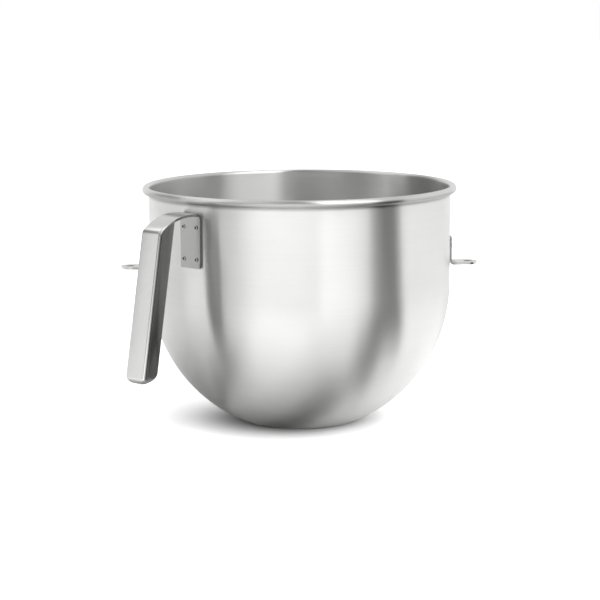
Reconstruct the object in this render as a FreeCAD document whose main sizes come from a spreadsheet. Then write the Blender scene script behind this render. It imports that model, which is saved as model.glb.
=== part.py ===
"""Stand mixer bowl for a bowl-lift mixer, in millimetres.

A deep drawn sheet bowl with a hollow rolled rim, a folded channel handle,
two side tabs that sit on the mixer's locating pins, and a rear latch stud.
The frame stands at the middle of the flat base: +Z up, the tabs on X, the
latch on +Y, and the handle at the front left.
"""
import FreeCAD, Part
import math
import os

import Sketcher
from FreeCAD import Placement, Rotation, Vector

os.makedirs("parts", exist_ok=True)
doc = FreeCAD.newDocument("stand_mixer_bowl")

# A sketch's names for the points of a line or arc, and for its own origin
START, END, CENTRE = range(1, 4)
ORIGIN = (-1, 1)
UP_AXIS = Vector(0, 0, 1)

# Driving dimensions: alias, value, what it is
SIZES = (
    ("wall_radius", 124.0, "outer radius of the upright wall"),
    ("shell_sheet", 0.9, "sheet of the bowl"),
    ("bowl_height", 196.3, "top of the rolled rim"),
    ("base_flat", 43.4, "radius of the flat base"),
    ("base_corner", 15.0, "outer radius between the flat base and the belly"),
    ("bead_radius", 3.1, "outer radius of the rolled rim"),
    ("bead_turn", 300.0, "degrees that the rim is rolled through"),
    ("weld_gap", 0.05, "gap between the wall and what is welded to it"),
    ("weld_mark_radius", 1.1, "weld dimple at the plate's surface"),
    ("weld_mark_depth", 0.7, "depth of a weld dimple"),
    ("weld_rim_radius", 1.9, "raised ring round a weld dimple"),
    ("weld_rim_rise", 0.3, "height of that ring over the plate"),
    ("handle_angle", 222.7, "degrees from +X to the handle"),
    ("handle_sheet", 2.0, "sheet of the handle"),
    ("handle_width", 21.5, "width over the handle's flanges"),
    ("handle_drop", 12.8, "from the rim's top down to the strap's top"),
    ("handle_bend", 2.0, "inner radius where the plate turns into the strap"),
    ("handle_plate_rise", 43.8, "from the welded plate's bottom to the strap's top"),
    ("handle_plate_corner", 1.5, "rounding of the welded plate's bottom corners"),
    ("strap_flat", 12.0, "level stretch of the strap from the wall"),
    ("strap_arch", 50.0, "outer radius of the strap's arch"),
    ("grip_reach", 43.2, "from the wall to the corner of strap and grip"),
    ("grip_lean", 10.0, "degrees that the grip leans out towards its foot"),
    ("grip_foot", 55.5, "lowest point of the grip"),
    ("grip_depth", 14.0, "depth of the grip's flanges"),
    ("grip_bend", 7.0, "outer radius where the strap turns into the grip"),
    ("grip_lip", 4.5, "outer radius from the grip's face to its foot"),
    ("grip_sole", 0.45, "flat of the foot between its lip and the flanges' rounded heel"),
    ("grip_corner", 6.5, "face view rounding of the foot"),
    ("grip_edge", 2.2, "outer radius from the grip's face to its flanges"),
    ("grip_inner_edge", 1.0, "inner radius from the grip's face to its flanges"),
    ("flange_edge", 0.3, "edge break on the flanges' free edges"),
    ("handle_mark_inset", 3.85, "weld dimples from the welded plate's sides"),
    ("handle_mark_drop", 11.4, "upper dimples from the strap's top"),
    ("handle_mark_lift", 7.0, "lower dimples from the welded plate's bottom"),
    ("tab_height", 130.3, "upper face of the side tabs"),
    ("tab_sheet", 1.8, "sheet of the side tabs"),
    ("tab_width", 22.0, "width of the side tabs"),
    ("tab_reach", 23.6, "from the wall to the tip of a side tab"),
    ("tab_leg", 21.5, "welded leg above the tab's upper face"),
    ("tab_bend", 2.0, "inner radius between leg and tab"),
    ("tab_tip_flat", 4.0, "straight stretch at the tab's tip between its rounded corners"),
    ("tab_leg_corner", 3.0, "rounding of the leg's upper corners"),
    ("tab_hole_radius", 3.5, "hole for the locating pin"),
    ("tab_hole_inset", 7.4, "from the tab's tip to the middle of the hole"),
    ("tab_mark_inset", 5.5, "weld dimples from the leg's sides"),
    ("tab_mark_drop", 7.3, "weld dimples from the leg's top"),
    ("latch_height", 134.0, "height of the latch stud"),
    ("latch_plate_sheet", 2.0, "sheet of the latch plate"),
    ("latch_plate_width", 30.0, "width of the latch plate"),
    ("latch_plate_rise", 34.0, "height of the latch plate"),
    ("latch_plate_corner", 3.0, "rounding of the latch plate's corners"),
    ("latch_mark_inset", 4.5, "weld dimples from the latch plate's edges"),
    ("latch_pin_radius", 4.0, "radius of the latch stud"),
    ("latch_pin_length", 14.0, "latch stud beyond its plate"),
    ("latch_pin_round", 1.5, "rounding of the stud's end"),
    ("latch_tenon_radius", 3.0, "tenon that carries the stud in its plate"),
    ("latch_tenon_fit", 0.05, "gap between the tenon and its hole"),
)

# Expressions that several outlines share
SEAT = "(Sizes.wall_radius + Sizes.weld_gap)"
BELLY_UP = (
    "(Sizes.base_corner + sqrt((Sizes.wall_radius - Sizes.base_corner) ^ 2"
    " - Sizes.base_flat ^ 2))"
)
HANDLE_TOP = "(Sizes.bowl_height - Sizes.handle_drop)"
PLATE_FOOT = f"({HANDLE_TOP} - Sizes.handle_plate_rise)"
ARCH_START = "(Sizes.wall_radius + Sizes.weld_gap + Sizes.strap_flat)"
ARCH_CENTRE = f"({HANDLE_TOP} - Sizes.strap_arch)"
CREST = "(Sizes.wall_radius + Sizes.grip_reach)"
CREST_UP = (
    f"({ARCH_CENTRE} + sqrt(Sizes.strap_arch ^ 2"
    " - (Sizes.grip_reach - Sizes.strap_flat - Sizes.weld_gap) ^ 2))"
)
GRIP_HEEL = (
    "(Sizes.grip_depth / cos(Sizes.grip_lean) - Sizes.grip_sole"
    " - Sizes.grip_lip / tan((90 - Sizes.grip_lean) / 2))"
    " * tan((90 + Sizes.grip_lean) / 2)"
)
LEG_TOP = "(Sizes.tab_height + Sizes.tab_leg)"
TAB_TIP = "(Sizes.wall_radius + Sizes.tab_reach)"
# Slack that tells the channel's mouth line from the flanges' free edges
ALONGSIDE = 0.1
# Degrees that a weld dimple narrows towards its bottom
WELD_MARK_TAPER = 25
# Shares of the wall's radius that a trim cut reaches between, clear of every plate
TRIM_FROM = 0.5
TRIM_TO = 2
# Degrees about the bowl's axis of a plate that is turned a little wider than it ends up
PLATE_TURN = "2 * asin(Sizes.{width} / Sizes.wall_radius)"

sheet = doc.addObject("Spreadsheet::Sheet", "Sizes")
for row, (alias, value, meaning) in enumerate(SIZES, start=1):
    sheet.set(f"A{row}", meaning)
    sheet.set(f"B{row}", str(value))
    sheet.setAlias(f"B{row}", alias)
doc.recompute()


def size(alias):
    """The value of one driving dimension."""
    return float(getattr(sheet, alias))


def bind(feature, **expressions):
    """Tie properties of a feature to cells of the sheet."""
    for name, expression in expressions.items():
        feature.setExpression(name, expression)


def plane(body, role):
    """One of the body's own origin planes."""
    return next(item for item in body.Origin.OriginFeatures if item.Role == role)


class Outline:
    """A sketch on one of the body's origin planes, driven by the sheet."""

    def __init__(self, body, name, role="XZ_Plane"):
        self.sketch = body.newObject("Sketcher::SketchObject", name)
        self.sketch.AttachmentSupport = (plane(body, role), "")
        self.sketch.MapMode = "FlatFace"

    def line(self, start, end):
        return self.sketch.addGeometry(Part.LineSegment(Vector(*start), Vector(*end)), False)

    def arc(self, centre, radius, first, last):
        """An arc, counterclockwise between two angles in degrees."""
        circle = Part.Circle(Vector(*centre), UP_AXIS, radius)
        arc = Part.ArcOfCircle(circle, math.radians(first), math.radians(last))
        return self.sketch.addGeometry(arc, False)

    def circle(self, centre, radius):
        return self.sketch.addGeometry(Part.Circle(Vector(*centre), UP_AXIS, radius), False)

    def rule(self, kind, *references):
        """A geometric constraint between (geometry, point) references."""
        flat = [part for reference in references for part in reference]
        return self.sketch.addConstraint(Sketcher.Constraint(kind, *flat))

    def measure(self, kind, references, value, expression):
        """A dimension that follows an expression in the sheet's cells."""
        flat = [part for reference in references for part in reference]
        index = self.sketch.addConstraint(Sketcher.Constraint(kind, *flat, value))
        self.sketch.setExpression(f"Constraints[{index}]", expression)

    def place(self, point, across, up, across_expression, up_expression):
        """Both coordinates of a point, from the sketch's origin."""
        self.measure("DistanceX", (ORIGIN, point), across, across_expression)
        self.measure("DistanceY", (ORIGIN, point), up, up_expression)

    def polygon(self, corners):
        """A closed outline of straight lines: (across, up, expression, expression) each."""
        count = len(corners)
        sides = [
            self.line(corners[i][:2], corners[(i + 1) % count][:2]) for i in range(count)
        ]
        for i, side in enumerate(sides):
            self.rule("Coincident", (side, END), (sides[(i + 1) % count], START))
            self.place((side, START), *corners[i])
        return sides


def new_body(label, angle_expression="0"):
    """A body in its own frame, x outwards from the bowl, turned about the bowl's axis."""
    body = doc.addObject("PartDesign::Body", label)
    body.Label = label
    body.Placement = Placement(Vector(0, 0, 0), Rotation(UP_AXIS, 0))
    body.setExpression("Placement.Rotation.Angle", angle_expression)
    return body


def pad(body, outline, name, length, symmetric=False, kind="PartDesign::Pad"):
    """Pad or pocket an outline by a length that the sheet gives."""
    feature = body.newObject(kind, name)
    feature.Profile = outline.sketch
    if symmetric:
        feature.SideType = "Symmetric"
    bind(feature, Length=length)
    doc.recompute()
    return feature


def cut_through(body, outline, name):
    """Cut an outline through the whole body, both ways."""
    before = body.Shape.Volume
    feature = body.newObject("PartDesign::Pocket", name)
    feature.Profile = outline.sketch
    feature.SideType = "Symmetric"
    feature.Type = "ThroughAll"
    doc.recompute()
    if not body.Shape.Volume < before:
        raise RuntimeError(f"{name} cut nothing")


def revolve(body, outline, name, axis="V_Axis", symmetric=False):
    """Turn an outline about one of its sketch's axes: upright is the bowl's own."""
    feature = body.newObject("PartDesign::Revolution", name)
    feature.Profile = outline.sketch
    feature.ReferenceAxis = (outline.sketch, [axis])
    feature.Midplane = symmetric
    doc.recompute()
    return feature


def edge_names(shape, wanted):
    """Names of the edges that a test picks."""
    names = [f"Edge{i}" for i, edge in enumerate(shape.Edges, start=1) if wanted(edge)]
    if not names:
        raise RuntimeError("no edge found to round")
    return names


def round_edges(body, base, name, radius, wanted):
    """Fillet the edges of the base feature that a test picks."""
    feature = body.newObject("PartDesign::Fillet", name)
    feature.Base = (base, edge_names(base.Shape, wanted))
    bind(feature, Radius=radius)
    doc.recompute()
    return feature


def near(first, second, tolerance=0.01):
    return abs(first - second) < tolerance


def crosswise_at(across, up):
    """A test for a straight edge along Y through a point of the side view."""
    def wanted(edge):
        middle = edge.CenterOfMass
        level = all(near(v.Point.x, across) and near(v.Point.z, up) for v in edge.Vertexes)
        return level and near(middle.x, across) and near(middle.z, up)
    return wanted


def outward_at(aside, up):
    """A test for the short edges through a plate's thickness at its corners."""
    def wanted(edge):
        first, last = edge.Vertexes[0].Point, edge.Vertexes[-1].Point
        level = near(first.z, up) and near(last.z, up)
        return level and near(first.y, last.y) and near(abs(first.y), aside)
    return wanted


# Bowl shell


def build_bowl_shell():
    """The drawn bowl: flat base, round belly, upright wall and hollow rolled rim."""
    body = new_body("bowl_shell")
    wall = size("wall_radius")
    gauge = size("shell_sheet")
    base = size("base_flat")
    corner = size("base_corner")
    belly = corner + math.sqrt((wall - corner) ** 2 - base ** 2)
    bead = size("bead_radius")
    bead_up = size("bowl_height") - bead
    bead_out = wall - gauge + bead
    bead_end = 180 - size("bead_turn")
    blend = math.degrees(math.atan2(corner - belly, base))

    section = Outline(body, "shell_section")
    floor = section.line((0, 0), (base, 0))
    corner_out = section.arc((base, corner), corner, -90, blend)
    belly_out = section.arc((0, belly), wall, blend, 0)
    wall_out = section.line((wall, belly), (wall, bead_up))
    bead_in = section.arc((bead_out, bead_up), bead - gauge, bead_end, 180)
    tip = Vector(math.cos(math.radians(bead_end)), math.sin(math.radians(bead_end)))
    bead_lip = section.line(
        (bead_out + tip.x * (bead - gauge), bead_up + tip.y * (bead - gauge)),
        (bead_out + tip.x * bead, bead_up + tip.y * bead),
    )
    bead_skin = section.arc((bead_out, bead_up), bead, bead_end, 180)
    wall_in = section.line((wall - gauge, bead_up), (wall - gauge, belly))
    belly_in = section.arc((0, belly), wall - gauge, blend, 0)
    corner_in = section.arc((base, corner), corner - gauge, -90, blend)
    floor_in = section.line((base, gauge), (0, gauge))
    axis = section.line((0, gauge), (0, 0))

    section.rule("Coincident", (floor, START), ORIGIN)
    section.rule("Horizontal", (floor,))
    section.rule("Tangent", (floor, END), (corner_out, START))
    section.rule("Tangent", (corner_out, END), (belly_out, START))
    section.rule("Tangent", (belly_out, END), (wall_out, START))
    section.rule("Vertical", (wall_out,))
    section.rule("Tangent", (wall_out, END), (bead_in, END))
    section.rule("Coincident", (bead_in, START), (bead_lip, START))
    section.rule("Coincident", (bead_lip, END), (bead_skin, START))
    section.rule("Coincident", (bead_in, CENTRE), (bead_skin, CENTRE))
    section.rule("PointOnObject", (bead_in, CENTRE), (bead_lip,))
    section.rule("Tangent", (bead_skin, END), (wall_in, START))
    section.rule("Vertical", (wall_in,))
    section.rule("Tangent", (wall_in, END), (belly_in, END))
    section.rule("Coincident", (belly_in, CENTRE), (belly_out, CENTRE))
    section.rule("Tangent", (belly_in, START), (corner_in, END))
    section.rule("Coincident", (corner_in, CENTRE), (corner_out, CENTRE))
    section.rule("Tangent", (corner_in, START), (floor_in, START))
    section.rule("Coincident", (floor_in, END), (axis, START))
    section.rule("Coincident", (axis, END), ORIGIN)
    section.rule("Vertical", (axis,))

    section.place((belly_out, CENTRE), 0, belly, "0", BELLY_UP)
    section.measure("Radius", ((belly_out,),), wall, "Sizes.wall_radius")
    section.measure("Radius", ((corner_out,),), corner, "Sizes.base_corner")
    section.measure("DistanceY", ((axis, END), (axis, START)), gauge, "Sizes.shell_sheet")
    section.measure("Radius", ((bead_skin,),), bead, "Sizes.bead_radius")
    section.measure("DistanceX", ((wall_in, START), (wall_out, END)), gauge,
                    "Sizes.shell_sheet")
    section.measure("DistanceY", (ORIGIN, (bead_skin, CENTRE)), bead_up,
                    "Sizes.bowl_height - Sizes.bead_radius")
    section.measure("Angle", ((bead_lip,),), math.radians(bead_end),
                    "180 - Sizes.bead_turn")
    revolve(body, section, "shell")
    return body


# Plates that are curved to the wall


def trim_sides(body, name, width):
    """Cut a plate that was turned about the bowl's axis to parallel sides."""
    outline = Outline(body, f"{name}_trim_outline", "XY_Plane")
    inside = size("wall_radius") * TRIM_FROM
    outside = size("wall_radius") * TRIM_TO
    inside_expression = f"Sizes.wall_radius * {TRIM_FROM}"
    outside_expression = f"Sizes.wall_radius * {TRIM_TO}"
    half = size(width) / 2
    far = size(width) * TRIM_TO
    for sign in (1, -1):
        near_side = f"{sign} * Sizes.{width} / 2"
        far_side = f"{sign} * Sizes.{width} * {TRIM_TO}"
        outline.polygon((
            (inside, sign * half, inside_expression, near_side),
            (outside, sign * half, outside_expression, near_side),
            (outside, sign * far, outside_expression, far_side),
            (inside, sign * far, inside_expression, far_side),
        ))
    cut_through(body, outline, f"{name}_trim")


def turn_plate(body, section, name, width):
    """Turn a plate's section about the bowl's axis, and trim it to its width."""
    plate = revolve(body, section, name, symmetric=True)
    bind(plate, Angle=PLATE_TURN.format(width=width))
    doc.recompute()
    trim_sides(body, name, width)


def angle_section(outline, leg_end, flange_face, tip, gauge, bend, side):
    """A leg along the wall that turns outwards into a flange.

    leg_end, flange_face and tip are (value, expression) each. flange_face is the height
    of the flange's convex face. side is 1 where the flange is at the leg's top, and -1
    where it is at its foot.
    """
    seat = size("wall_radius") + size("weld_gap")
    thick = size(gauge)
    inner = size(bend)
    outer = inner + thick
    far = flange_face[0]
    middle = far - side * outer
    near_face = far - side * thick
    to_leg, to_flange, first = (END, START, 90) if side > 0 else (START, END, 180)

    back = outline.line((seat, leg_end[0]), (seat, middle))
    outer_bend = outline.arc((seat + outer, middle), outer, first, first + 90)
    convex = outline.line((seat + outer, far), (tip[0], far))
    end = outline.line((tip[0], far), (tip[0], near_face))
    hollow = outline.line((tip[0], near_face), (seat + outer, near_face))
    inner_bend = outline.arc((seat + outer, middle), inner, first, first + 90)
    front = outline.line((seat + thick, middle), (seat + thick, leg_end[0]))
    cap = outline.line((seat + thick, leg_end[0]), (seat, leg_end[0]))
    outline.rule("Tangent", (back, END), (outer_bend, to_leg))
    outline.rule("Tangent", (outer_bend, to_flange), (convex, START))
    outline.rule("Coincident", (convex, END), (end, START))
    outline.rule("Coincident", (end, END), (hollow, START))
    outline.rule("Tangent", (hollow, END), (inner_bend, to_flange))
    outline.rule("Tangent", (inner_bend, to_leg), (front, START))
    outline.rule("Coincident", (front, END), (cap, START))
    outline.rule("Coincident", (cap, END), (back, START))
    outline.rule("Coincident", (outer_bend, CENTRE), (inner_bend, CENTRE))
    for upright in (back, end, front):
        outline.rule("Vertical", (upright,))
    for level in (convex, hollow, cap):
        outline.rule("Horizontal", (level,))
    outline.place((back, START), seat, leg_end[0], SEAT, leg_end[1])
    outline.place((convex, END), tip[0], far, tip[1], flange_face[1])
    outline.measure("Radius", ((inner_bend,),), inner, f"Sizes.{bend}")
    outline.measure("Radius", ((outer_bend,),), outer, f"Sizes.{bend} + Sizes.{gauge}")


def mark_plate(body, name, plate_radius, plate_sheet, marks):
    """Weld dimples with a raised ring on a plate that is curved to the wall.

    Each mark is (across, up, expression, expression) on the plate's side view.
    """
    rings = Outline(body, f"{name}_ring_outline", "YZ_Plane")
    dimples = Outline(body, f"{name}_dimple_outline", "YZ_Plane")
    for outline, alias in ((rings, "weld_rim_radius"), (dimples, "weld_mark_radius")):
        for across, up, across_expression, up_expression in marks:
            circle = outline.circle((across, up), size(alias))
            outline.place((circle, CENTRE), across, up, across_expression, up_expression)
            outline.measure("Radius", ((circle,),), size(alias), f"Sizes.{alias}")
    middle = f"({plate_radius} - {plate_sheet} / 2)"
    bind(rings.sketch, **{"AttachmentOffset.Base.z": middle})
    pad(body, rings, f"{name}_rings", f"{plate_sheet} / 2 + Sizes.weld_rim_rise")
    bind(dimples.sketch, **{
        "AttachmentOffset.Base.z": f"{plate_radius} + Sizes.weld_rim_rise",
    })
    before = body.Shape.Volume
    feature = pad(body, dimples, f"{name}_dimples",
                  "Sizes.weld_mark_depth + Sizes.weld_rim_rise", kind="PartDesign::Pocket")
    feature.TaperAngle = -WELD_MARK_TAPER
    doc.recompute()
    if not body.Shape.Volume < before:
        raise RuntimeError(f"{name} dimples cut nothing")


# Handle


def handle_top():
    """The height of the strap's level stretch."""
    return size("bowl_height") - size("handle_drop")


def handle_frame():
    """The points of the handle's side view that several outlines share."""
    arch_start = size("wall_radius") + size("weld_gap") + size("strap_flat")
    arch_centre = handle_top() - size("strap_arch")
    lean = math.radians(size("grip_lean"))
    crest = size("wall_radius") + size("grip_reach")
    crest_up = arch_centre + math.sqrt(size("strap_arch") ** 2 - (crest - arch_start) ** 2)
    return arch_start, arch_centre, lean, crest, crest_up


def grip_solid(label, inset, inset_expression):
    """The grip's outline as a solid block, drawn in by an inset all round its front.

    With no inset it is the grip's outside. With the sheet as inset it is the channel
    inside, which then reaches out past the flanges' free edges.
    """
    body = new_body(label)
    arch_start, arch_centre, lean, crest, crest_up = handle_frame()
    arch = size("strap_arch") - inset
    floor = size("grip_foot") + inset
    front = crest + (crest_up - floor) * math.tan(lean) - inset / math.cos(lean)
    back = front - size("grip_depth") / math.cos(lean)
    top_front = (crest - inset, crest_up - inset)
    top_back = (crest - size("grip_depth"), crest_up + inset)
    front_angle = math.degrees(math.acos((top_front[0] - arch_start) / arch))
    back_angle = math.degrees(math.acos((top_back[0] - arch_start) / arch))
    floor_expression = f"(Sizes.grip_foot + {inset_expression})"

    side = Outline(body, f"{label}_side_view")
    top = side.arc((arch_start, arch_centre), arch, front_angle, back_angle)
    face = side.line(top_front, (front, floor))
    sole = side.line((front, floor), (back, floor))
    mouth = side.line((back, floor), top_back)
    side.rule("Coincident", (top, START), (face, START))
    side.rule("Coincident", (face, END), (sole, START))
    side.rule("Horizontal", (sole,))
    side.rule("Coincident", (sole, END), (mouth, START))
    side.rule("Parallel", (mouth,), (face,))
    side.rule("Coincident", (mouth, END), (top, END))
    side.place((top, CENTRE), arch_start, arch_centre, ARCH_START, ARCH_CENTRE)
    side.measure("Radius", ((top,),), arch, f"Sizes.strap_arch - {inset_expression}")
    side.measure("Angle", ((face,),), lean - math.pi / 2, "Sizes.grip_lean - 90")
    side.place((face, END), front, floor,
               f"{CREST} + ({CREST_UP} - {floor_expression}) * tan(Sizes.grip_lean)"
               f" - {inset_expression} / cos(Sizes.grip_lean)",
               floor_expression)
    side.measure("DistanceX", ((sole, END), (sole, START)), front - back,
                 "Sizes.grip_depth / cos(Sizes.grip_lean)")
    block = pad(body, side, f"{label}_block",
                f"Sizes.handle_width - 2 * {inset_expression}", symmetric=True)
    doc.recompute()

    corner = side.sketch.getPoint(face, START)
    bend = round_edges(body, block, f"{label}_bend", f"Sizes.grip_bend - {inset_expression}",
                       crosswise_at(corner.x, corner.y))
    lip = round_edges(body, bend, f"{label}_lip", f"Sizes.grip_lip - {inset_expression}",
                      crosswise_at(front, floor))
    return body, lip, back, floor


def round_grip(blank, name, half, floor, corner, edge_radius, free_edge):
    """Round a grip block's side edges: tight at the face, easy at the foot.

    Each edge's radius runs between what its two ends ask for, so the bend fades out
    along the strap and towards the flanges' free edges.
    """
    arch_start, arch_centre, lean, crest, crest_up = handle_frame()

    def behind_face(point):
        return (crest - point.x) * math.cos(lean) + (crest_up - point.z) * math.sin(lean)

    def radius_at(point):
        if near(point.z, floor):
            return corner
        if near(behind_face(point), size("grip_depth")):
            return free_edge
        return edge_radius

    def on_mouth(first, last):
        """The straight line past the flanges, which only the channel has."""
        past = size("grip_depth") + ALONGSIDE
        return behind_face(first) > past and behind_face(last) > past

    radii = []
    for number, edge in enumerate(blank.Shape.Edges, start=1):
        first = edge.valueAt(edge.FirstParameter)
        last = edge.valueAt(edge.LastParameter)
        on_side = near(abs(first.y), half) and near(first.y, last.y)
        if on_side and not on_mouth(first, last):
            radii.append((number, radius_at(first), radius_at(last)))
    rounded = doc.addObject("Part::Fillet", name)
    rounded.Base = blank
    rounded.Edges = radii
    doc.recompute()
    return rounded


def build_grip():
    """The channel grip: the rounded block less the rounded channel."""
    gauge = size("handle_sheet")
    outside, lip, back, floor = grip_solid("grip_outside", 0.0, "0")
    round_edges(outside, lip, "grip_outside_heel", GRIP_HEEL,
                crosswise_at(back, floor))
    outside = round_grip(outside, "grip_outside_rounded", size("handle_width") / 2, floor,
                         size("grip_corner"), size("grip_edge"), size("flange_edge"))
    inside, lip, back, floor = grip_solid("grip_channel", gauge, "Sizes.handle_sheet")
    inside = round_grip(inside, "grip_channel_rounded", size("handle_width") / 2 - gauge,
                        floor, size("grip_corner") - gauge, size("grip_inner_edge"),
                        size("grip_inner_edge"))
    grip = doc.addObject("Part::Cut", "grip_shell")
    grip.Base = outside
    grip.Tool = inside
    doc.recompute()
    return grip


def add_strap(body):
    """The arched strip from the level stretch at the wall to the grip."""
    arch_start, arch_centre, lean, crest, crest_up = handle_frame()
    arch = size("strap_arch")
    gauge = size("handle_sheet")
    depth = size("grip_depth")
    under_end = (crest - depth, crest_up)
    top_end = (crest - depth, crest_up + gauge)
    under_angle = math.degrees(math.acos((under_end[0] - arch_start) / (arch - gauge)))
    top_angle = math.degrees(math.acos((top_end[0] - arch_start) / arch))

    side = Outline(body, "strap_side_view")
    level = arch_centre + arch
    root_at = size("wall_radius") + size("weld_gap") + size("handle_bend") + gauge
    top = side.arc((arch_start, arch_centre), arch, top_angle, 90)
    under = side.arc((arch_start, arch_centre), arch - gauge, under_angle, 90)
    level_top = side.line((arch_start, level), (root_at, level))
    root = side.line((root_at, level), (root_at, level - gauge))
    level_under = side.line((root_at, level - gauge), (arch_start, level - gauge))
    tip = side.line(under_end, top_end)
    side.rule("Coincident", (top, CENTRE), (under, CENTRE))
    side.rule("Tangent", (top, END), (level_top, START))
    side.rule("Coincident", (level_top, END), (root, START))
    side.rule("Vertical", (root,))
    side.rule("Coincident", (root, END), (level_under, START))
    side.rule("Tangent", (level_under, END), (under, END))
    side.rule("Horizontal", (level_under,))
    side.rule("Horizontal", (level_top,))
    side.rule("Coincident", (under, START), (tip, START))
    side.rule("Coincident", (tip, END), (top, START))
    side.place((top, CENTRE), arch_start, arch_centre, ARCH_START, ARCH_CENTRE)
    side.measure("Radius", ((top,),), arch, "Sizes.strap_arch")
    side.measure("Radius", ((under,),), arch - gauge, "Sizes.strap_arch - Sizes.handle_sheet")
    side.measure("DistanceX", (ORIGIN, (root, START)), root_at,
                 f"{SEAT} + Sizes.handle_bend + Sizes.handle_sheet")
    side.measure("Angle", ((tip,),), math.pi / 2 + lean, "90 + Sizes.grip_lean")
    flange_line = side.sketch.addGeometry(
        Part.LineSegment(Vector(crest - depth / math.cos(lean), crest_up), Vector(*under_end)),
        True,
    )
    side.place((flange_line, START), crest - depth / math.cos(lean), crest_up,
               f"{CREST} - Sizes.grip_depth / cos(Sizes.grip_lean)", CREST_UP)
    side.rule("Coincident", (flange_line, END), (tip, START))
    side.rule("Parallel", (flange_line,), (tip,))
    pad(body, side, "strap_strip", "Sizes.handle_width", symmetric=True)


def build_handle():
    """Folded channel grip, arched strap and welded plate, formed from one sheet."""
    grip = build_grip()
    body = new_body("handle", "Sizes.handle_angle")
    body.BaseFeature = grip
    doc.recompute()
    add_strap(body)

    top = handle_top()
    foot = top - size("handle_plate_rise")
    half = size("handle_width") / 2
    section = Outline(body, "handle_plate_section")
    angle_section(section, (foot, PLATE_FOOT), (top, HANDLE_TOP),
                  (handle_frame()[0], ARCH_START), "handle_sheet", "handle_bend", 1)
    turn_plate(body, section, "handle_plate", "handle_width")
    round_edges(body, body.Tip, "handle_plate_corners", "Sizes.handle_plate_corner",
                outward_at(half, foot))
    rows = (
        (top - size("handle_mark_drop"), f"{HANDLE_TOP} - Sizes.handle_mark_drop"),
        (foot + size("handle_mark_lift"), f"{PLATE_FOOT} + Sizes.handle_mark_lift"),
    )
    marks = [
        (sign * (half - size("handle_mark_inset")), up,
         f"{sign} * (Sizes.handle_width / 2 - Sizes.handle_mark_inset)", up_expression)
        for up, up_expression in rows for sign in (-1, 1)
    ]
    mark_plate(body, "handle", f"({SEAT} + Sizes.handle_sheet)", "Sizes.handle_sheet", marks)
    return body


# Side tabs


def build_side_tab(label, angle_expression):
    """An angle: the leg is welded to the wall, the tab sits on a locating pin."""
    body = new_body(label, angle_expression)
    tip = size("wall_radius") + size("tab_reach")
    rise = size("tab_height") + size("tab_leg")
    half = size("tab_width") / 2

    section = Outline(body, f"{label}_section")
    angle_section(section, (rise, LEG_TOP),
                  (size("tab_height") - size("tab_sheet"), "Sizes.tab_height - Sizes.tab_sheet"),
                  (tip, TAB_TIP), "tab_sheet", "tab_bend", -1)
    turn_plate(body, section, f"{label}_angle", "tab_width")

    def tip_corner(edge):
        first, last = edge.Vertexes[0].Point, edge.Vertexes[-1].Point
        upright = near(first.x, last.x) and near(first.y, last.y)
        past_bend = first.x > (size("wall_radius") + tip) / 2
        return upright and past_bend and near(abs(first.y), half)

    legs = round_edges(body, body.Tip, f"{label}_leg_corners", "Sizes.tab_leg_corner",
                       outward_at(half, rise))
    round_edges(body, legs, f"{label}_tip_corners",
                "(Sizes.tab_width - Sizes.tab_tip_flat) / 2", tip_corner)

    hole = Outline(body, f"{label}_hole_outline", "XY_Plane")
    hole_at = tip - size("tab_hole_inset")
    circle = hole.circle((hole_at, 0), size("tab_hole_radius"))
    hole.place((circle, CENTRE), hole_at, 0, f"{TAB_TIP} - Sizes.tab_hole_inset", "0")
    hole.measure("Radius", ((circle,),), size("tab_hole_radius"), "Sizes.tab_hole_radius")
    cut_through(body, hole, f"{label}_hole")

    marks = [
        (sign * (half - size("tab_mark_inset")), rise - size("tab_mark_drop"),
         f"{sign} * (Sizes.tab_width / 2 - Sizes.tab_mark_inset)",
         f"{LEG_TOP} - Sizes.tab_mark_drop")
        for sign in (-1, 1)
    ]
    mark_plate(body, label, f"({SEAT} + Sizes.tab_sheet)", "Sizes.tab_sheet", marks)
    return body


# Rear latch


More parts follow.
